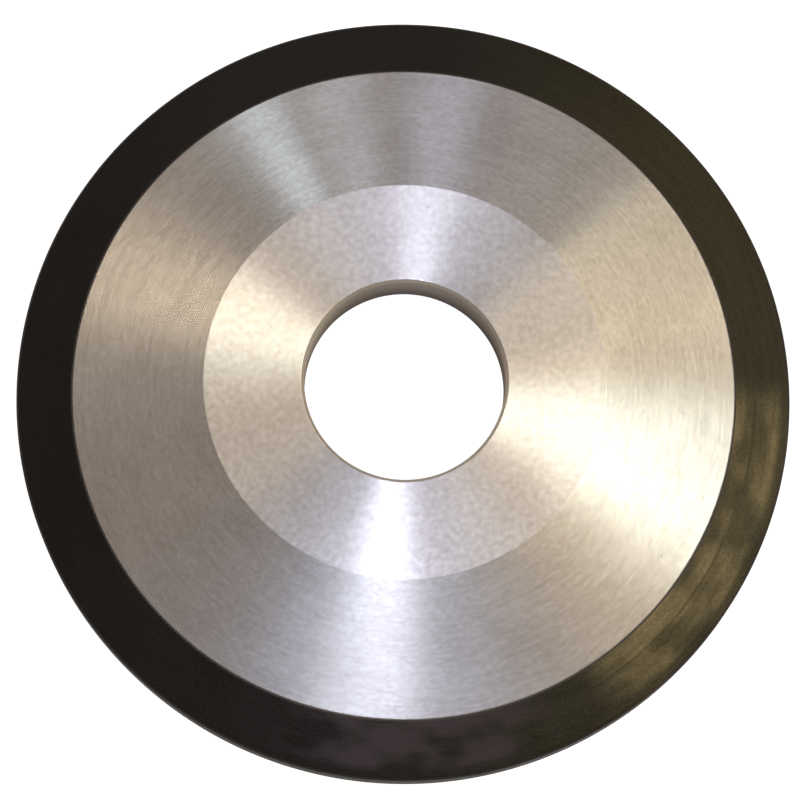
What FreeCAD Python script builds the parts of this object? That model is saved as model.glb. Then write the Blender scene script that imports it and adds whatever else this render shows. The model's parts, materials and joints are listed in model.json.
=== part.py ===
import FreeCAD, Part
import math
import os

import Sketcher

# A dish-shaped diamond grinding wheel, abrasive face down on z = 0, axis on +Z.
# A turned aluminium core carries a moulded rim: a plain resin ring backs the
# diamond layer, and a thin film of adhesive bonds that ring to the core.

DIMENSIONS = [
    ("wheel_diameter", 125.0),  # outside of the rim
    ("wheel_thickness", 16.0),  # abrasive face to the hub's back face
    ("bore_diameter", 32.0),  # spindle hole, straight through
    ("bore_chamfer", 0.5),
    ("cone_angle", 20.0),  # slope of the back and of the dish, in degrees
    ("dish_depth", 7.0),  # abrasive face to the web's flat front
    ("rim_width", 9.2),  # radial width of the rim, seen from the back
    ("rim_edge_height", 4.9),  # abrasive face to the rim's outer back edge
    ("rim_edge_chamfer", 0.4),
    ("abrasive_width", 10.0),  # radial width of the diamond layer
    ("abrasive_depth", 3.0),  # depth of the diamond layer
    ("abrasive_chamfer", 0.3),
    ("foot_width", 5.5),  # radial reach of the rim's foot inside the diamond layer
    ("foot_edge", 0.6),  # blunt inner edge of that foot
    ("bond_gap", 0.15),  # adhesive thickness between core and rim
    ("joint_chamfer", 0.2),  # edge broken on the core beside the joint
    ("key_depth", 0.6),  # keying grooves in the core's seat
    ("key_width", 0.5),
    ("key_count", 2.0),
]


def make_sheet(doc):
    """One row per driving dimension: its name, and its value under that alias."""
    sheet = doc.addObject("Spreadsheet::Sheet", "Dims")
    for row, (alias, value) in enumerate(DIMENSIONS, start=1):
        sheet.set(f"A{row}", alias)
        sheet.set(f"B{row}", str(value))
        sheet.setAlias(f"B{row}", alias)
    doc.recompute()


# Radii and heights that several pieces share, each worked out from the sheet.
SLOPE = "tan(Dims.cone_angle * 1 deg)"
BORE_R = "(Dims.bore_diameter / 2)"
OUTER_R = "(Dims.wheel_diameter / 2)"
ABRASIVE_R = f"({OUTER_R} - Dims.abrasive_width)"
SEAT_R = f"({OUTER_R} - Dims.rim_width)"
RING_SEAT_R = f"({SEAT_R} + Dims.bond_gap)"
FOOT_R = f"({ABRASIVE_R} - Dims.foot_width)"
BACKING_Z = "Dims.abrasive_depth"
FOOT_EDGE_Z = f"({BACKING_Z} + Dims.foot_width * {SLOPE})"
FOOT_TOP_Z = f"({FOOT_EDGE_Z} + Dims.foot_edge)"
SHOULDER_Z = f"({FOOT_TOP_Z} + Dims.bond_gap)"
WEB_Z = "Dims.dish_depth"
WEB_R = f"({FOOT_R} - ({WEB_Z} - {FOOT_EDGE_Z}) / {SLOPE})"
TOP_Z = "Dims.wheel_thickness"
HUB_R = f"({OUTER_R} - ({TOP_Z} - Dims.rim_edge_height) / {SLOPE})"


def back_z(radius):
    """Height of the back cone at a radius."""
    return f"(Dims.rim_edge_height + ({OUTER_R} - {radius}) * {SLOPE})"


SEAT_TOP_Z = f"({back_z(SEAT_R)} - Dims.joint_chamfer)"
KEY_PITCH = f"(({SEAT_TOP_Z} - {SHOULDER_Z}) / Dims.key_count)"


def value(doc, expression):
    """Present value of an expression on the sheet, as a plain number."""
    result = doc.getObject("Dims").evalExpression(expression)
    return float(getattr(result, "Value", result))


def origin_feature(body, role):
    """The body's own origin plane or axis with that role."""
    for feature in body.Origin.OriginFeatures:
        if feature.Role == role:
            return feature
    raise LookupError(role)


def start_sketch(body, name, role):
    sketch = body.newObject("Sketcher::SketchObject", name)
    sketch.AttachmentSupport = [(origin_feature(body, role), "")]
    sketch.MapMode = "FlatFace"
    return sketch


def bind_length(sketch, kind, point, expression):
    """Dimension from the sketch's origin to a vertex, driven by an expression."""
    root = (-1, 1)
    drawn = value(sketch.Document, expression)
    index = sketch.addConstraint(Sketcher.Constraint(kind, *root, *point, drawn))
    sketch.setExpression(f"Constraints[{index}]", expression)


def section_sketch(body, name, corners):
    """Closed half section on the XZ plane: corners are (radius, height) expressions.

    Where two corners follow each other at one radius or one height, the edge
    between them is held vertical or horizontal and takes that size only once.
    """
    sketch = start_sketch(body, name, "XZ_Plane")
    doc = body.Document
    drawn = [FreeCAD.Vector(value(doc, r), value(doc, z), 0) for r, z in corners]
    count = len(corners)
    for i in range(count):
        sketch.addGeometry(Part.LineSegment(drawn[i], drawn[(i + 1) % count]), False)
    for i in range(count):
        sketch.addConstraint(Sketcher.Constraint("Coincident", i, 2, (i + 1) % count, 1))
    for i, (radius, height) in enumerate(corners):
        last_radius, last_height = corners[i - 1]
        if i > 0 and radius == last_radius:
            sketch.addConstraint(Sketcher.Constraint("Vertical", i - 1))
        else:
            bind_length(sketch, "DistanceX", (i, 1), radius)
        if i > 0 and height == last_height:
            sketch.addConstraint(Sketcher.Constraint("Horizontal", i - 1))
        else:
            bind_length(sketch, "DistanceY", (i, 1), height)
    return sketch


def turn_section(body, name, corners, kind="Revolution"):
    """Revolve a half section round the body's Z axis, or groove with it."""
    sketch = section_sketch(body, f"{name}Section", corners)
    feature = body.newObject(f"PartDesign::{kind}", name)
    feature.Profile = sketch
    feature.ReferenceAxis = (sketch, ["V_Axis"])
    feature.Angle = 360
    body.Document.recompute()
    return feature


def repeat_up(body, feature, name, pitch, count):
    """Linear pattern of a feature along +Z."""
    pattern = body.newObject("PartDesign::LinearPattern", name)
    pattern.Originals = [feature]
    pattern.Direction = (origin_feature(body, "Z_Axis"), [""])
    pattern.setExpression("Occurrences", count)
    pattern.setExpression("Length", f"{pitch} * ({count} - 1)")
    body.Tip = pattern
    body.Document.recompute()
    return pattern


def circular_edges(shape, radius, height):
    """Names of the full circles of that radius at that height."""
    names = []
    for number, edge in enumerate(shape.Edges, start=1):
        curve = edge.Curve
        if not isinstance(curve, Part.Circle):
            continue
        if math.isclose(curve.Radius, radius, abs_tol=1e-4) and math.isclose(
            curve.Center.z, height, abs_tol=1e-4
        ):
            names.append(f"Edge{number}")
    return names


def break_edges(body, name, circles, size):
    """Chamfer the circles at those (radius, height) expressions by a sheet size."""
    base = body.Tip
    edges = []
    for radius, height in circles:
        doc = body.Document
        found = circular_edges(base.Shape, value(doc, radius), value(doc, height))
        if not found:
            raise LookupError(f"{name}: no circle at {radius}, {height}")
        edges.extend(found)
    chamfer = body.newObject("PartDesign::Chamfer", name)
    chamfer.Base = (base, edges)
    chamfer.setExpression("Size", size)
    body.Document.recompute()
    return chamfer


def new_body(doc, name, label):
    body = doc.addObject("PartDesign::Body", name)
    body.Label = label
    return body


def key_section(outer_radius):
    """Section of the lowest keying groove, from its floor out to a radius."""
    floor_r = f"({SEAT_R} - Dims.key_depth)"
    low_z = f"({SHOULDER_Z} + ({KEY_PITCH} - Dims.key_width) / 2)"
    high_z = f"({low_z} + Dims.key_width)"
    return [
        (floor_r, low_z),
        (outer_radius, low_z),
        (outer_radius, high_z),
        (floor_r, high_z),
    ]


def bore_through(body):
    """Straight round bore on the axis; stops if it removed nothing."""
    solid_volume = body.Shape.Volume
    circle = start_sketch(body, "BoreCircle", "XY_Plane")
    drawn = Part.Circle(FreeCAD.Vector(), FreeCAD.Vector(0, 0, 1), 1)
    circle.addGeometry(drawn, False)
    circle.addConstraint(Sketcher.Constraint("Coincident", 0, 3, -1, 1))
    size = circle.addConstraint(Sketcher.Constraint("Diameter", 0, 2.0))
    circle.setExpression(f"Constraints[{size}]", "Dims.bore_diameter")
    pocket = body.newObject("PartDesign::Pocket", "Bore")
    pocket.Profile = circle
    pocket.Type = "ThroughAll"
    pocket.Midplane = True
    body.Document.recompute()
    if pocket.Shape.Volume >= solid_volume:
        raise RuntimeError("the bore cut nothing")


def make_core(doc):
    """Turned aluminium core: flat hub, conical back, dished front, keyed rim seat."""
    body = new_body(doc, "Core", "aluminium_core")
    turn_section(
        body,
        "CoreTurning",
        [
            ("0", WEB_Z),
            (WEB_R, WEB_Z),
            (FOOT_R, FOOT_EDGE_Z),
            (FOOT_R, SHOULDER_Z),
            (SEAT_R, SHOULDER_Z),
            (SEAT_R, back_z(SEAT_R)),
            (HUB_R, TOP_Z),
            ("0", TOP_Z),
        ],
    )
    bore_through(body)
    break_edges(body, "BoreChamfers", [(BORE_R, WEB_Z), (BORE_R, TOP_Z)], "Dims.bore_chamfer")
    break_edges(body, "JointChamfer", [(SEAT_R, back_z(SEAT_R))], "Dims.joint_chamfer")
    groove = turn_section(body, "KeyGroove", key_section(RING_SEAT_R), "Groove")
    repeat_up(body, groove, "KeyGrooves", KEY_PITCH, "Dims.key_count")
    return body


def make_adhesive(doc):
    """Bond line: a film under and round the core's edge, with ribs in its grooves."""
    body = new_body(doc, "Adhesive", "rim_adhesive")
    turn_section(
        body,
        "BondFilm",
        [
            (FOOT_R, FOOT_TOP_Z),
            (RING_SEAT_R, FOOT_TOP_Z),
            (RING_SEAT_R, SEAT_TOP_Z),
            (SEAT_R, SEAT_TOP_Z),
            (SEAT_R, SHOULDER_Z),
            (FOOT_R, SHOULDER_Z),
        ],
    )
    rib = turn_section(body, "KeyRib", key_section(SEAT_R))
    repeat_up(body, rib, "KeyRibs", KEY_PITCH, "Dims.key_count")
    return body


def make_backing(doc):
    """Plain moulded resin ring: it continues the back cone, and its foot the dish."""
    body = new_body(doc, "Backing", "resin_backing_ring")
    edge_z = "Dims.rim_edge_height"
    turn_section(
        body,
        "BackingMoulding",
        [
            (ABRASIVE_R, BACKING_Z),
            (OUTER_R, BACKING_Z),
            (OUTER_R, edge_z),
            (RING_SEAT_R, back_z(RING_SEAT_R)),
            (RING_SEAT_R, FOOT_TOP_Z),
            (FOOT_R, FOOT_TOP_Z),
            (FOOT_R, FOOT_EDGE_Z),
        ],
    )
    break_edges(body, "RimEdgeChamfer", [(OUTER_R, edge_z)], "Dims.rim_edge_chamfer")
    return body


def make_abrasive(doc):
    """Diamond layer: a flat ring of diamond grit in resin, its two face edges broken."""
    body = new_body(doc, "Abrasive", "diamond_abrasive_ring")
    turn_section(
        body,
        "AbrasiveMoulding",
        [
            (ABRASIVE_R, "0"),
            (OUTER_R, "0"),
            (OUTER_R, BACKING_Z),
            (ABRASIVE_R, BACKING_Z),
        ],
    )
    face_edges = [(OUTER_R, "0"), (ABRASIVE_R, "0")]
    break_edges(body, "AbrasiveChamfers", face_edges, "Dims.abrasive_chamfer")
    return body


def check_document(doc, bodies):
    """Stop on any object that failed, and on any piece with no single valid solid."""
    for item in doc.Objects:
        if "Invalid" in item.State or "Error" in item.State:
            raise RuntimeError(f"{item.Name} is {item.State}")
    for body in bodies:
        shape = body.Shape
        if shape.isNull() or not shape.isValid() or len(shape.Solids) != 1:
            raise RuntimeError(f"{body.Label} has no single valid solid")


def write_parts(bodies):
    os.makedirs("parts", exist_ok=True)
    for body in bodies:
        body.Shape.exportStep(os.path.join("parts", f"{body.Label}.step"))
        box = body.Shape.BoundBox
        print(
            f"{body.Label}: {body.Shape.Volume:.1f} mm3, "
            f"z {box.ZMin:.3f} to {box.ZMax:.3f}, diameter {box.XLength:.3f}"
        )


def main():
    doc = FreeCAD.newDocument("DishWheel")
    make_sheet(doc)
    bodies = [make_core(doc), make_adhesive(doc), make_backing(doc), make_abrasive(doc)]
    doc.recompute()
    check_document(doc, bodies)
    write_parts(bodies)


main()
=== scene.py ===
import json
import math

import bpy
import numpy as np
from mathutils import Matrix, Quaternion, Vector


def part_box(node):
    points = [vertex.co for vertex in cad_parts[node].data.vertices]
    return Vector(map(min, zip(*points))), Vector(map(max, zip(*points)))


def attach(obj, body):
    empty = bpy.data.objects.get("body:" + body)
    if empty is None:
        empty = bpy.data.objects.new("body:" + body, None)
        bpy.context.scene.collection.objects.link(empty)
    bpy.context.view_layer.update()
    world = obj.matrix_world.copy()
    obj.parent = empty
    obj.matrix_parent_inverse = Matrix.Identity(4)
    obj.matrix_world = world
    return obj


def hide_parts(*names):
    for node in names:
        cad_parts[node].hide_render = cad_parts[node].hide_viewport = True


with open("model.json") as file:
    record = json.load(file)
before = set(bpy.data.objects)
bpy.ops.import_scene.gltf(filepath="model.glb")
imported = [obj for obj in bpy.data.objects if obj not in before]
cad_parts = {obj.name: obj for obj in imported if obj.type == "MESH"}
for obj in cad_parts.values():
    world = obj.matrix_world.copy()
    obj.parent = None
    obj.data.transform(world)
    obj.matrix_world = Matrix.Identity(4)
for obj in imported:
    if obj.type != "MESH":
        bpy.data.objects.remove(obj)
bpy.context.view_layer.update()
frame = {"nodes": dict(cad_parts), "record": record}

print("frame loaded, nodes:", ", ".join(sorted(frame["nodes"])))

mm = 0.001  # lengths are in metres


class Wire:
    # one output socket of a finish; arithmetic on it adds Math nodes
    def __init__(self, finish, socket):
        self.finish = finish
        self.socket = socket

    def __add__(self, other):
        return self.finish.maths("ADD", self, other)

    def __radd__(self, other):
        return self.finish.maths("ADD", other, self)

    def __sub__(self, other):
        return self.finish.maths("SUBTRACT", self, other)

    def __rsub__(self, other):
        return self.finish.maths("SUBTRACT", other, self)

    def __mul__(self, other):
        return self.finish.maths("MULTIPLY", self, other)

    def __rmul__(self, other):
        return self.finish.maths("MULTIPLY", other, self)

    def __truediv__(self, other):
        return self.finish.maths("DIVIDE", self, other)

    def __rtruediv__(self, other):
        return self.finish.maths("DIVIDE", other, self)

    def __pow__(self, other):
        return self.finish.maths("POWER", self, other)


class Finish:
    # a material: its nodes, and the Principled shader that they end in
    def __init__(self, name, fixed):
        self.material = bpy.data.materials.new(name)
        self.material.use_nodes = True
        self.nodes = self.material.node_tree.nodes
        self.links = self.material.node_tree.links
        self.nodes.clear()
        self.bsdf = self.node("ShaderNodeBsdfPrincipled", inputs=fixed)
        self.shader = self.bsdf.socket.node
        self.result = self.nodes.new("ShaderNodeOutputMaterial")
        self.feed(self.result, "Surface", self.bsdf)

    def node(self, kind, settings=None, inputs=None, output=0):
        # settings are the node's own choices; inputs are numbers, colours or wires
        made = self.nodes.new(kind)
        for key, choice in (settings or {}).items():
            setattr(made, key, choice)
        for key, given in (inputs or {}).items():
            self.feed(made, key, given)
        return Wire(self, made.outputs[output])

    def feed(self, made, key, given):
        if isinstance(given, Wire):
            self.links.new(given.socket, made.inputs[key])
        else:
            made.inputs[key].default_value = given

    def drive(self, key, wire):
        self.feed(self.shader, key, wire)

    def maths(self, operation, *values):
        return self.node("ShaderNodeMath", {"operation": operation}, dict(enumerate(values)))

    def axes(self):
        # the three object coordinates, in metres
        coords = self.node("ShaderNodeTexCoord", output="Object")
        split = self.node("ShaderNodeSeparateXYZ", inputs={0: coords}).socket.node
        return [Wire(self, split.outputs[i]) for i in range(3)]

    def clamp(self, value):
        return self.node("ShaderNodeClamp", inputs={"Value": value})

    def vector(self, x, y, z):
        return self.node("ShaderNodeCombineXYZ", inputs={0: x, 1: y, 2: z})

    def noise(self, where, scale, detail, roughness=0.5):
        # runs from 0 to 1 about a half
        given = {"Vector": where, "Scale": scale, "Detail": detail, "Roughness": roughness}
        return self.node("ShaderNodeTexNoise", {"noise_dimensions": "3D"}, given)

    def drawnRound(self, x, y, radius, across, count, detail):
        # Noise drawn out round the axis, read at (across, count x / r, count y / r):
        # it changes as across does, and count times in a radian.
        turn = count / radius
        return self.noise(self.vector(across, x * turn, y * turn), 1.0, detail)

    def ramp(self, value, low, high, bottom=0.0, top=1.0):
        # smooth step from bottom to top as value goes from low to high
        given = {"Value": value, 1: low, 2: high, 3: bottom, 4: top}
        return self.node("ShaderNodeMapRange", {"interpolation_type": "SMOOTHSTEP"}, given)

    def tint(self, share, first, second):
        # colour between first and second
        return self.node(
            "ShaderNodeMix", {"data_type": "RGBA"}, {0: share, 6: first, 7: second}, output=2
        )

    def bump(self, height, distance):
        given = {"Height": height, "Distance": distance, "Strength": 1.0}
        self.drive("Normal", self.node("ShaderNodeBump", inputs=given))


def rgb(red, green, blue):
    return (red, green, blue, 1.0)


def roundedOutline(corners, cuts, arcSteps=5, runSteps=3, hold=0.04 * mm):
    # Closed outline in (radius, height). Each corner is cut back by its cut along both
    # sides and a quadratic curve joins the cuts: (1-t)^2 before + 2t(1-t) corner + t^2 after.
    # A point on each side, hold away, keeps the flat run beside it flat.
    corner = np.array(corners, float)
    cut = np.array(cuts, float)[:, None]
    toLast = np.roll(corner, 1, 0) - corner
    toNext = np.roll(corner, -1, 0) - corner
    toLast /= np.linalg.norm(toLast, axis=1, keepdims=True)
    toNext /= np.linalg.norm(toNext, axis=1, keepdims=True)
    t = np.linspace(0, 1, arcSteps)[None, :, None]
    before = (corner + toLast * cut)[:, None]
    after = (corner + toNext * cut)[:, None]
    arc = (1 - t) ** 2 * before + 2 * t * (1 - t) * corner[:, None] + t**2 * after
    start = after + toNext[:, None] * hold
    end = np.roll(before + toLast[:, None] * hold, -1, 0)
    s = np.linspace(0, 1, runSteps + 2)[None, :, None]
    return np.concatenate([arc, start * (1 - s) + end * s], axis=1).reshape(-1, 2)


def turnedPiece(name, outline, turns=384):
    # Lathe surface: outline point (r, z) at angle a lies at (r cos a, r sin a, z).
    # The outline runs clockwise when the radius points right, so that faces look outwards.
    angle = np.arange(turns) * 2 * math.pi / turns
    r, z = outline[:, :1], outline[:, 1:]
    grid = np.stack([r * np.cos(angle), r * np.sin(angle), z + 0 * angle], axis=-1)
    rows = len(outline)
    i, j = np.meshgrid(np.arange(rows), np.arange(turns), indexing="ij")
    here = i * turns + j
    beside = i * turns + (j + 1) % turns
    above = (i + 1) % rows * turns + j
    across = (i + 1) % rows * turns + (j + 1) % turns
    faces = np.stack([here, above, across, beside], axis=-1).reshape(-1, 4)
    mesh = bpy.data.meshes.new(name)
    mesh.from_pydata(grid.reshape(-1, 3), [], faces)
    mesh.polygons.foreach_set("use_smooth", np.ones(len(faces), bool))
    mesh.update()
    piece = bpy.data.objects.new(name, mesh)
    bpy.context.scene.collection.objects.link(piece)
    return piece


def fit(piece, finish, node):
    # the piece stands for a CAD node and moves with the one body
    piece.data.materials.append(finish.material)
    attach(piece, "root")
    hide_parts(node)
    print("made", piece.name, "with", len(piece.data.polygons), "faces")


# sizes that the frame gives
mounts = {mount["name"]: mount for mount in frame["record"]["mounts"]}
coreLow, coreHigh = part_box("aluminium_core")
filmLow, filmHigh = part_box("rim_adhesive")
backingLow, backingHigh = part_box("resin_backing_ring")
coneAngle = 20.0  # degrees, of the back cone and of the dished front
slope = math.tan(math.radians(coneAngle))
boreRadius = mounts["spindle_bore"]["dims"]["r_mm"] * mm
webHeight = mounts["front_flange_seat"]["pos_m"][2]
hubHeight = coreHigh.z
seatRadius = coreHigh.x
outerRadius = backingHigh.x
ringSeatRadius = filmHigh.x
bondGap = ringSeatRadius - seatRadius
layerRadius = 2 * mounts["abrasive_face"]["pos_m"][0] - outerRadius  # the mount is midway across
layerHeight = backingLow.z
footEdgeHeight = coreLow.z
footTopHeight = filmLow.z
shoulderHeight = footTopHeight + bondGap
footRadius = layerRadius - (footEdgeHeight - layerHeight) / slope
webRadius = footRadius - (webHeight - footEdgeHeight) / slope
boreChamfer = (hubHeight - webHeight - mounts["spindle_bore"]["dims"]["length_mm"] * mm) / 2


def coneHeight(radius):
    # height of the back cone: the ring's inner back edge, less the slope times the way out
    return backingHigh.z - (radius - ringSeatRadius) * slope


hubRadius = seatRadius - (hubHeight - coneHeight(seatRadius)) / slope
jointChamfer = coneHeight(seatRadius) - filmHigh.z


core = {
    "keyDepth": 0.6 * mm,
    "keyWidth": 0.5 * mm,
    "keyCount": 2,
    "edgeRound": 0.05 * mm,
    "creaseRound": 0.03 * mm,  # how far the crease between hub and cone is rounded
    "creaseBlend": 0.1 * mm,  # on each side of it, where one finish passes into the other
    "bright": (0.86, 0.84, 0.81),
    "dull": (0.66, 0.63, 0.59),
    "bore": (0.54, 0.47, 0.38),  # the bore's wall at the hub
    "boreDeep": (0.20, 0.165, 0.145),  # and painted shade on it: darker deeper in the bore
    "oilWear": 0.5,  # how unevenly the painted shade lies, by the tool strokes
    "boreStart": 0.7,  # share of the chamfer's width from which the bore's finish is full
    "roughness": 0.268,
    "boreRoughness": 0.6,
    "boreMetal": 0.4,
    "anisotropy": 0.965,
    "anisotropyTurn": 0.25,  # a quarter turn: highlights run out from the axis
    "grainSize": 1.0 * mm,
    "grainWear": (0.6, 1.6),  # on the cone, on the hub
    "strokePitch": 0.6 * mm,  # short strokes of the turning tool, measured across them
    "strokeCount": 40.0,  # the higher, the shorter the strokes
    "strokeWear": (1.35, 0.5),
    "strokeRelief": 0.2,  # against the feed marks' relief
    "linePitch": 0.9 * mm,  # long feed marks
    "lineCount": 5.0,
    "lineWear": (0.8, 0.2),
    "cloudSize": 11.0 * mm,
    "cloudRoughness": 0.6,
    "cloudWear": 1.2,
    "roughWear": 0.015,
    "relief": 0.006 * mm,
}


def keyedSeat():
    # The seat as (radius, height), from its top down to the shoulder. The grooves share its
    # height evenly: the middle of groove k is at shoulder + (k + 1/2) seat height / count.
    top = filmHigh.z
    pitch = (top - shoulderHeight) / core["keyCount"]
    floor = seatRadius - core["keyDepth"]
    points = [(seatRadius, top)]
    for key in reversed(range(core["keyCount"])):
        low = shoulderHeight + key * pitch + (pitch - core["keyWidth"]) / 2
        high = low + core["keyWidth"]
        points += [(seatRadius, high), (floor, high), (floor, low), (seatRadius, low)]
    return points + [(seatRadius, shoulderHeight)]


def coreOutline():
    # Half section: up the bore and out over the hub, down the cone (height falls by the slope
    # times the radius) to the broken edge at the joint, down the keyed seat, in along the
    # shoulder, down to the dish, and up it at the cone's slope to the flat web.
    chamferRun = jointChamfer * math.cos(math.atan(slope))
    chamferRadius = seatRadius - chamferRun
    back = [
        (boreRadius, webHeight + boreChamfer),
        (boreRadius, hubHeight - boreChamfer),
        (boreRadius + boreChamfer, hubHeight),
        (hubRadius, hubHeight),
        (chamferRadius, coneHeight(chamferRadius)),
    ]
    front = [
        (footRadius, shoulderHeight),
        (footRadius, footEdgeHeight),
        (webRadius, webHeight),
        (boreRadius + boreChamfer, webHeight),
    ]
    corners = back + keyedSeat() + front
    cuts = np.full(len(corners), core["edgeRound"])
    cuts[corners.index((hubRadius, hubHeight))] = core["creaseRound"]
    return roundedOutline(corners, cuts)


def turnedAluminium():
    # bright metal with tool strokes, feed marks and grain, and a dull bore with painted shade that
    # darkens deeper in
    finish = Finish(
        "turnedAluminium",
        {"Anisotropic": core["anisotropy"], "Anisotropic Rotation": core["anisotropyTurn"]},
    )
    x, y, z = finish.axes()
    where = finish.vector(x, y, z)
    radius = (x * x + y * y) ** 0.5

    def marks(pitch, count):
        # across runs on down the cone and the bore alike, as the radius less the height
        return finish.drawnRound(x, y, radius, (radius - z) / pitch, count, 1.0) - 0.5

    stroke = marks(core["strokePitch"], core["strokeCount"])
    line = marks(core["linePitch"], core["lineCount"])
    grain = finish.noise(where, 1 / core["grainSize"], 1.0) - 0.5
    cloud = finish.noise(where, 1 / core["cloudSize"], 3.0, core["cloudRoughness"]) - 0.5
    onHub = finish.ramp(radius, hubRadius + core["creaseBlend"], hubRadius - core["creaseBlend"])
    boreStart = boreRadius + core["boreStart"] * boreChamfer
    inBore = finish.ramp(radius, boreRadius + boreChamfer, boreStart)

    wear = 0.5 + cloud * core["cloudWear"]
    for mark, share in ((stroke, "strokeWear"), (line, "lineWear"), (grain, "grainWear")):
        onCone, onFlat = core[share]
        wear = wear + mark * (onCone + onHub * (onFlat - onCone))
    metal = finish.tint(finish.clamp(wear), rgb(*core["bright"]), rgb(*core["dull"]))
    # painted shade: the bore's wall darker the deeper in it is, broken up by the tool strokes
    deepShade = finish.ramp(z, hubHeight - boreChamfer, webHeight + boreChamfer) + stroke * core["oilWear"]
    wall = finish.tint(finish.clamp(deepShade), rgb(*core["bore"]), rgb(*core["boreDeep"]))
    finish.drive("Base Color", finish.tint(inBore, metal, wall))

    rough = core["roughness"] + (stroke + grain) * core["roughWear"]
    finish.drive("Roughness", rough + inBore * (core["boreRoughness"] - core["roughness"]))
    finish.drive("Metallic", 1 - inBore * (1 - core["boreMetal"]))
    finish.bump(line + stroke * core["strokeRelief"], core["relief"])
    return finish


fit(
    turnedPiece("aluminiumCore", coreOutline()),
    turnedAluminium(),
    "aluminium_core",
)


backing = {
    "chamfer": 0.4 * mm,
    "edgeRound": 0.12 * mm,
    "jointRound": 0.02 * mm,  # where it meets the diamond layer, and at the foot
    "runSteps": 8,  # rows along each flat run
    "base": (0.0078, 0.0056, 0.0036),
    "stained": (0.042, 0.034, 0.0105),
    "dusty": (0.30, 0.235, 0.105),
    "smoked": (0.052, 0.038, 0.040),
    "edge": (0.020, 0.011, 0.006),
    "specular": 0.33,
    "roughness": 0.42,
    "roughWear": (0.30, 0.15, 0.35),  # by the patches, the streaks and the specks
    "patchDepth": 6.5 * mm,  # size of the dusty patches across the ring
    "patchCount": 5.0,  # the higher, the shorter the patches
    "streakDepth": 1.1 * mm,
    "speckSize": 0.45 * mm,
    "speckle": 1.1,
    "rubRadius": 56.6 * mm,  # where a thin dark rub mark runs round
    "rubWidth": 0.40 * mm,
    "rubStreaks": (0.35, 0.60),  # the rub mark comes in as the streaks pass from low to high
    "rubClears": 0.6,  # how much of the painted highlight it takes away
    "shadeBand": (2.4 * mm, 0.9 * mm),  # inwards from the outside: where the painted highlight and the purplish patches end
    "shadeClears": 0.8,
    "edgeBand": (0.6 * mm, 0.2 * mm),  # where the edge's own colour comes in
    "dustTowards": 28.0,  # degrees clockwise from +X: the side where the warm lamp's reflection is painted
    "dustReach": (0.85, 0.94),  # cosines to that heading with none of the painted highlight, and with all of it
    "dustPatches": (0.38, 0.62, 0.30, 1.0),  # low and high patch, and the painted highlight on each
    "dustLevel": (0.72, 0.90),  # mean, and how much of it follows the streaks
    # painted sheen: the warm lamp's broad olive reflection, centred on this heading
    "stainTowards": 5.0,
    "stainReach": (-0.15, 0.80),
    "stainLevel": (0.80, 0.70),
    # lighter purplish patches, towards this heading
    "smokeTowards": 88.0,
    "smokeReach": (0.91, 0.99),
    "smokePatches": (0.35, 0.60),
    "relief": 0.035 * mm,
}


def backingOutline():
    # Half section: up the seat, down the cone to the broken outer edge, down the outside, in
    # over the diamond layer, up the foot's underside, which has the cone's slope, and back
    # along the foot's top.
    chamferRadius = outerRadius - backing["chamfer"] * math.cos(math.atan(slope))
    edgeHeight = coneHeight(outerRadius)
    back = [
        (ringSeatRadius, footTopHeight),
        (ringSeatRadius, backingHigh.z),
        (chamferRadius, coneHeight(chamferRadius)),
        (outerRadius, edgeHeight - backing["chamfer"]),
    ]
    front = [
        (outerRadius, layerHeight),
        (layerRadius, layerHeight),
        (footRadius, footEdgeHeight),
        (footRadius, footTopHeight),
    ]
    cuts = [backing["edgeRound"]] * len(back) + [backing["jointRound"]] * len(front)
    return roundedOutline(back + front, cuts, runSteps=backing["runSteps"])


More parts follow.
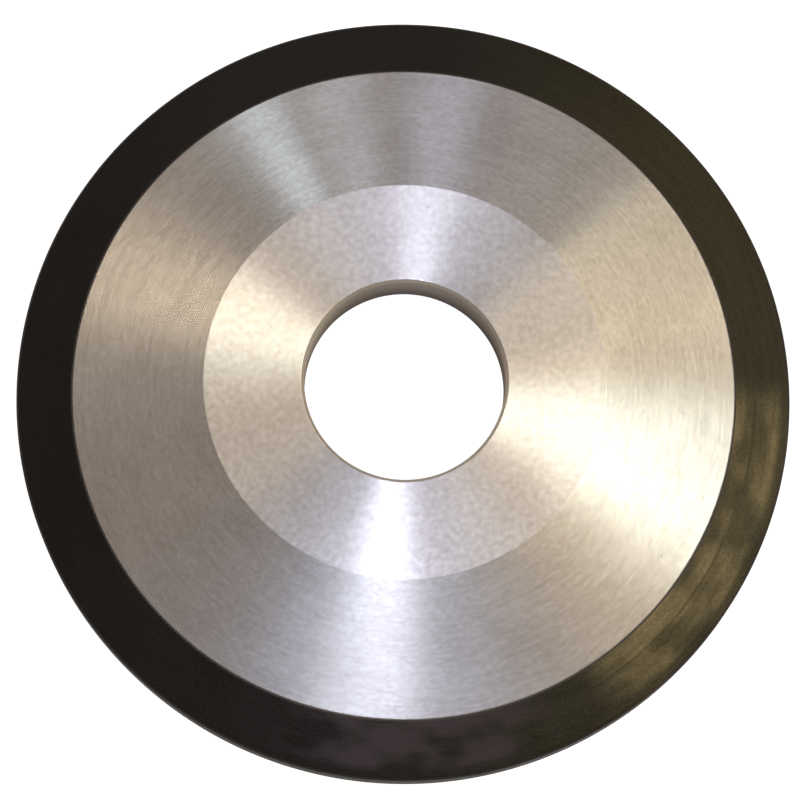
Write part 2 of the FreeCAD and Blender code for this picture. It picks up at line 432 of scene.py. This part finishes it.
def darkResin():
    # near-black moulding: on one side a painted sheen of the warm lamp, broad and olive, with a tan
    # painted highlight in patches; lighter purplish patches towards another heading; a thin rub mark
    finish = Finish("darkResin", {"Specular IOR Level": backing["specular"]})
    x, y, z = finish.axes()
    radius = (x * x + y * y) ** 0.5
    count = backing["patchCount"]
    patch = finish.drawnRound(x, y, radius, radius / backing["patchDepth"], count, 2.0)
    streak = finish.drawnRound(x, y, radius, radius / backing["streakDepth"], count, 2.0)
    speck = finish.noise(finish.vector(x, y, z), 1 / backing["speckSize"], 1.0) - 0.5
    speckle = 1 + speck * backing["speckle"]

    def towards(heading, reach):
        # cosine of the angle between a point's direction and the heading, stepped over the reach
        a = -math.radians(backing[heading])
        return finish.ramp((x * math.cos(a) + y * math.sin(a)) / radius, *backing[reach])

    def nearEdge(band):
        inner, outer = backing[band]
        return finish.ramp(radius, outerRadius - inner, outerRadius - outer)

    def streaky(level):
        mean, swing = backing[level]
        return mean + (streak - 0.5) * swing

    fromRub = finish.maths("ABSOLUTE", radius - backing["rubRadius"])
    rub = finish.ramp(fromRub, backing["rubWidth"], 0.0) * finish.ramp(streak, *backing["rubStreaks"])
    shade = nearEdge("shadeBand")
    # painted sheen: the warm lamp's broad reflection, olive, over one side
    broadSheen = towards("stainTowards", "stainReach") * streaky("stainLevel") * speckle
    # painted highlight: the warm lamp's reflection, tan in patches, cleared by the rub mark and near
    # the outer edge
    lampHighlight = towards("dustTowards", "dustReach") * finish.ramp(patch, *backing["dustPatches"])
    lampHighlight = lampHighlight * (1 - rub * backing["rubClears"]) * (1 - shade * backing["shadeClears"])
    lampHighlight = lampHighlight * streaky("dustLevel") * speckle
    # lighter purplish patches towards another heading, kept off the outer edge band
    purplish = towards("smokeTowards", "smokeReach") * finish.ramp(patch, *backing["smokePatches"])

    resin = finish.tint(finish.clamp(broadSheen), rgb(*backing["base"]), rgb(*backing["stained"]))
    resin = finish.tint(finish.clamp(purplish * (1 - shade)), resin, rgb(*backing["smoked"]))
    resin = finish.tint(nearEdge("edgeBand"), resin, rgb(*backing["edge"]))
    finish.drive("Base Color", finish.tint(finish.clamp(lampHighlight), resin, rgb(*backing["dusty"])))

    byPatch, byStreak, bySpeck = backing["roughWear"]
    rough = backing["roughness"] + (patch - 0.5) * byPatch + (streak - 0.5) * byStreak
    finish.drive("Roughness", rough + speck * bySpeck)
    finish.bump(speck + streak + patch, backing["relief"])
    return finish


fit(
    turnedPiece("resinBackingRing", backingOutline()),
    darkResin(),
    "resin_backing_ring",
)


adhesive = {
    "edgeRound": 0.01 * mm,
    "hold": 0.01 * mm,  # the film is too thin for the usual hold
    "thin": (0.012, 0.008, 0.005),
    "thick": (0.05, 0.03, 0.016),
    "lumpSize": 1.1 * mm,
    "lumpRoughness": 0.6,
    "specular": 0.5,
    "roughness": 0.35,
    "roughWear": 0.3,
    "relief": 0.03 * mm,
}


def adhesiveOutline():
    # Half section: up the core's keyed seat, from under its shoulder, and down the ring's
    # plain seat, which is one bond gap further out.
    corners = [(footRadius, footTopHeight), (footRadius, shoulderHeight)]
    corners += list(reversed(keyedSeat()))
    corners += [(ringSeatRadius, filmHigh.z), (ringSeatRadius, footTopHeight)]
    cuts = [adhesive["edgeRound"]] * len(corners)
    return roundedOutline(corners, cuts, hold=adhesive["hold"])


def brownAdhesive():
    # dark glue, paler and rougher where it is lumpy
    finish = Finish("brownAdhesive", {"Specular IOR Level": adhesive["specular"]})
    where = finish.vector(*finish.axes())
    lump = finish.noise(where, 1 / adhesive["lumpSize"], 3.0, adhesive["lumpRoughness"])
    finish.drive("Base Color", finish.tint(lump, rgb(*adhesive["thin"]), rgb(*adhesive["thick"])))
    finish.drive("Roughness", adhesive["roughness"] + lump * adhesive["roughWear"])
    finish.bump(lump, adhesive["relief"])
    return finish


fit(
    turnedPiece("rimAdhesive", adhesiveOutline()),
    brownAdhesive(),
    "rim_adhesive",
)


layer = {
    "chamfer": 0.3 * mm,
    "edgeRound": 0.03 * mm,
    "runSteps": 10,
    "base": (0.125, 0.110, 0.085),
    "grit": (0.36, 0.33, 0.25),
    "gritSize": 0.16 * mm,
    "shineFrom": (0.80, 0.95),  # grains above this shine: one in ten or so
    "shineShare": 0.8,  # how much of the grit's colour the shining grains take
    "shineGloss": 0.45,  # how much smoother they are
    "cloudSize": 4.0 * mm,
    "cloudRoughness": 0.6,
    "cloudShare": 0.2,
    "specular": 0.5,
    "roughness": 0.75,
    "relief": 0.04 * mm,
}


def layerOutline():
    # half section: a rectangle whose two front corners are cut off at 45 degrees
    cut = layer["chamfer"]
    corners = [
        (layerRadius, cut),
        (layerRadius, layerHeight),
        (outerRadius, layerHeight),
        (outerRadius, cut),
        (outerRadius - cut, 0.0),
        (layerRadius + cut, 0.0),
    ]
    cuts = [layer["edgeRound"]] * len(corners)
    return roundedOutline(corners, cuts, runSteps=layer["runSteps"])


def diamondGrit():
    # grains as Voronoi cells, each with its own height, and a few that shine
    finish = Finish("diamondGrit", {"Specular IOR Level": layer["specular"]})
    where = finish.vector(*finish.axes())
    cells = {"Vector": where, "Scale": 1 / layer["gritSize"], "Randomness": 1.0}
    tone = finish.node("ShaderNodeTexVoronoi", {"feature": "F1"}, cells, output="Color")
    pick = finish.node("ShaderNodeSeparateColor", inputs={0: tone})
    distance = finish.node("ShaderNodeTexVoronoi", {"feature": "F1"}, cells, output="Distance")
    cloud = finish.noise(where, 1 / layer["cloudSize"], 3.0, layer["cloudRoughness"])
    shine = finish.ramp(pick, *layer["shineFrom"])
    share = shine * layer["shineShare"] + cloud * layer["cloudShare"]
    finish.drive("Base Color", finish.tint(share, rgb(*layer["base"]), rgb(*layer["grit"])))
    finish.drive("Roughness", layer["roughness"] - shine * layer["shineGloss"])
    finish.bump((1 - distance) * pick + cloud, layer["relief"])
    return finish


fit(
    turnedPiece("diamondAbrasiveRing", layerOutline()),
    diamondGrit(),
    "diamond_abrasive_ring",
)


floor = {
    "side": 4.0,
    "gap": 0.02 * mm,  # left under the wheel, so that the two faces don't flicker
    "base": (0.45, 0.45, 0.45),
    "roughness": 0.9,
    "seenGlow": (0.95, 0.95, 0.95),
    "castGlow": (0.22, 0.22, 0.22),  # what the wheel gets from it
}


def makeFloor():
    # Flat square: corners at plus and minus half the side, just below the wheel.
    # It is clear from below, so that the wheel's front can be looked at.
    half, level = floor["side"] / 2, -floor["gap"]
    square = [(-half, -half, level), (half, -half, level), (half, half, level), (-half, half, level)]
    mesh = bpy.data.meshes.new("floor")
    mesh.from_pydata(square, [], [(0, 1, 2, 3)])
    plane = bpy.data.objects.new("floor", mesh)
    bpy.context.scene.collection.objects.link(plane)
    finish = Finish(
        "paleFloor",
        {
            "Base Color": rgb(*floor["base"]),
            "Roughness": floor["roughness"],
            "Emission Strength": 1.0,
        },
    )
    seen = finish.node("ShaderNodeLightPath", output="Is Camera Ray")
    finish.drive("Emission Color", finish.tint(seen, rgb(*floor["castGlow"]), rgb(*floor["seenGlow"])))
    clear = finish.node("ShaderNodeBsdfTransparent")
    under = finish.node("ShaderNodeNewGeometry", output="Backfacing")
    sheer = finish.node("ShaderNodeMixShader", inputs={0: under, 1: finish.bsdf, 2: clear})
    finish.feed(finish.result, "Surface", sheer)
    plane.data.materials.append(finish.material)


# each light: azimuth from +X towards +Y and elevation in degrees, distance, width and height
# in metres, colour, power in watts
lights = {
    "lampByCamera": (-98.4, 78.3, 0.66, 0.065, 0.010, (0.77, 0.81, 1.00), 0.384),
    "warmLamp": (8.6, 64.5, 1.50, 0.380, 0.305, (0.88, 1.00, 0.96), 2.611),
    "warmGlow": (8.6, 64.5, 1.49, 0.640, 0.460, (1.00, 0.80, 0.54), 1.712),
    "farWindow": (132.7, 62.3, 1.50, 0.200, 0.121, (1.00, 0.79, 0.54), 0.954),
    "windowLeft": (109.5, 42.0, 1.50, 0.140, 0.900, (0.74, 0.88, 1.00), 0.408),
    "windowMiddle": (98.2, 42.0, 1.50, 0.190, 0.900, (0.78, 0.88, 1.00), 0.230),
    "windowRight": (82.5, 45.0, 1.50, 0.190, 0.900, (0.66, 0.76, 1.00), 0.245),
    "farWall": (60.0, 56.0, 1.50, 0.450, 0.830, (1.00, 0.98, 0.91), 0.373),
    "creamWall": (39.3, 56.2, 1.50, 0.490, 0.829, (1.00, 0.84, 0.56), 1.564),
    "skylight": (-95.0, 78.7, 1.50, 0.702, 0.670, (0.54, 0.70, 1.00), 1.411),
    "rightWall": (-20.5, 72.7, 1.50, 0.405, 0.622, (1.00, 0.81, 0.55), 0.842),
    "ceiling": (-105.7, 90.0, 1.50, 0.166, 1.731, (0.85, 0.80, 1.00), 0.584),
}


def makeLight(name, azimuth, elevation, distance, width, height, colour, power):
    # soft rectangular light that faces the wheel
    lamp = bpy.data.lights.new(name, "AREA")
    lamp.shape = "RECTANGLE"
    lamp.size = width
    lamp.size_y = height
    lamp.color = colour
    lamp.energy = power
    a, e = math.radians(azimuth), math.radians(elevation)
    away = Vector((math.cos(a) * math.cos(e), math.sin(a) * math.cos(e), math.sin(e)))
    holder = bpy.data.objects.new(name, lamp)
    holder.location = away * distance
    holder.rotation_mode = "QUATERNION"
    holder.rotation_quaternion = away.to_track_quat("Z", "Y")
    holder.visible_camera = False
    bpy.context.scene.collection.objects.link(holder)


makeFloor()
for name, settings in lights.items():
    makeLight(name, *settings)
print("floor and", len(lights), "lights ready")


room = {"ambient": (1.000, 0.852, 0.757), "strength": 0.220, "backdrop": (1.0, 1.0, 1.0)}


def makeRoom():
    # the room lights the wheel faintly, and the camera sees a pale backdrop instead of it
    world = bpy.data.worlds.new("studio")
    world.use_nodes = True
    nodes, links = world.node_tree.nodes, world.node_tree.links
    ambient = nodes["Background"]
    ambient.inputs["Color"].default_value = rgb(*room["ambient"])
    ambient.inputs["Strength"].default_value = room["strength"]
    backdrop = nodes.new("ShaderNodeBackground")
    backdrop.inputs["Color"].default_value = rgb(*room["backdrop"])
    chosen = nodes.new("ShaderNodeMixShader")
    links.new(nodes.new("ShaderNodeLightPath").outputs["Is Camera Ray"], chosen.inputs[0])
    links.new(ambient.outputs[0], chosen.inputs[1])
    links.new(backdrop.outputs[0], chosen.inputs[2])
    links.new(chosen.outputs[0], nodes["World Output"].inputs["Surface"])
    bpy.context.scene.world = world


makeRoom()
print("room ready")


camera = {
    "azimuth": -5.14,  # degrees, from the front
    "elevation": 78.04,
    "roll": 5.03,
    "distance": 0.629,
    "lens": 175.3 * mm,
    "sensor": 36.0 * mm,
    "aim": (-0.6 * mm, -0.9 * mm, coneHeight(outerRadius)),
}


def makeCamera():
    # it stands its distance back from the aim, looks at it, and is rolled about its own axis
    a, e = math.radians(camera["azimuth"]), math.radians(camera["elevation"])
    back = Vector((math.sin(a) * math.cos(e), -math.cos(a) * math.cos(e), math.sin(e)))
    made = bpy.data.cameras.new("camera")
    made.lens = camera["lens"] / mm
    made.sensor_width = camera["sensor"] / mm
    holder = bpy.data.objects.new("camera", made)
    holder.rotation_mode = "QUATERNION"
    level = (-back).to_track_quat("-Z", "Y")
    holder.rotation_quaternion = level @ Quaternion((0, 0, 1), math.radians(camera["roll"]))
    holder.location = Vector(camera["aim"]) + back * camera["distance"]
    bpy.context.scene.collection.objects.link(holder)
    bpy.context.scene.camera = holder


makeCamera()
bpy.context.scene.view_settings.view_transform = "Standard"
print("camera ready")
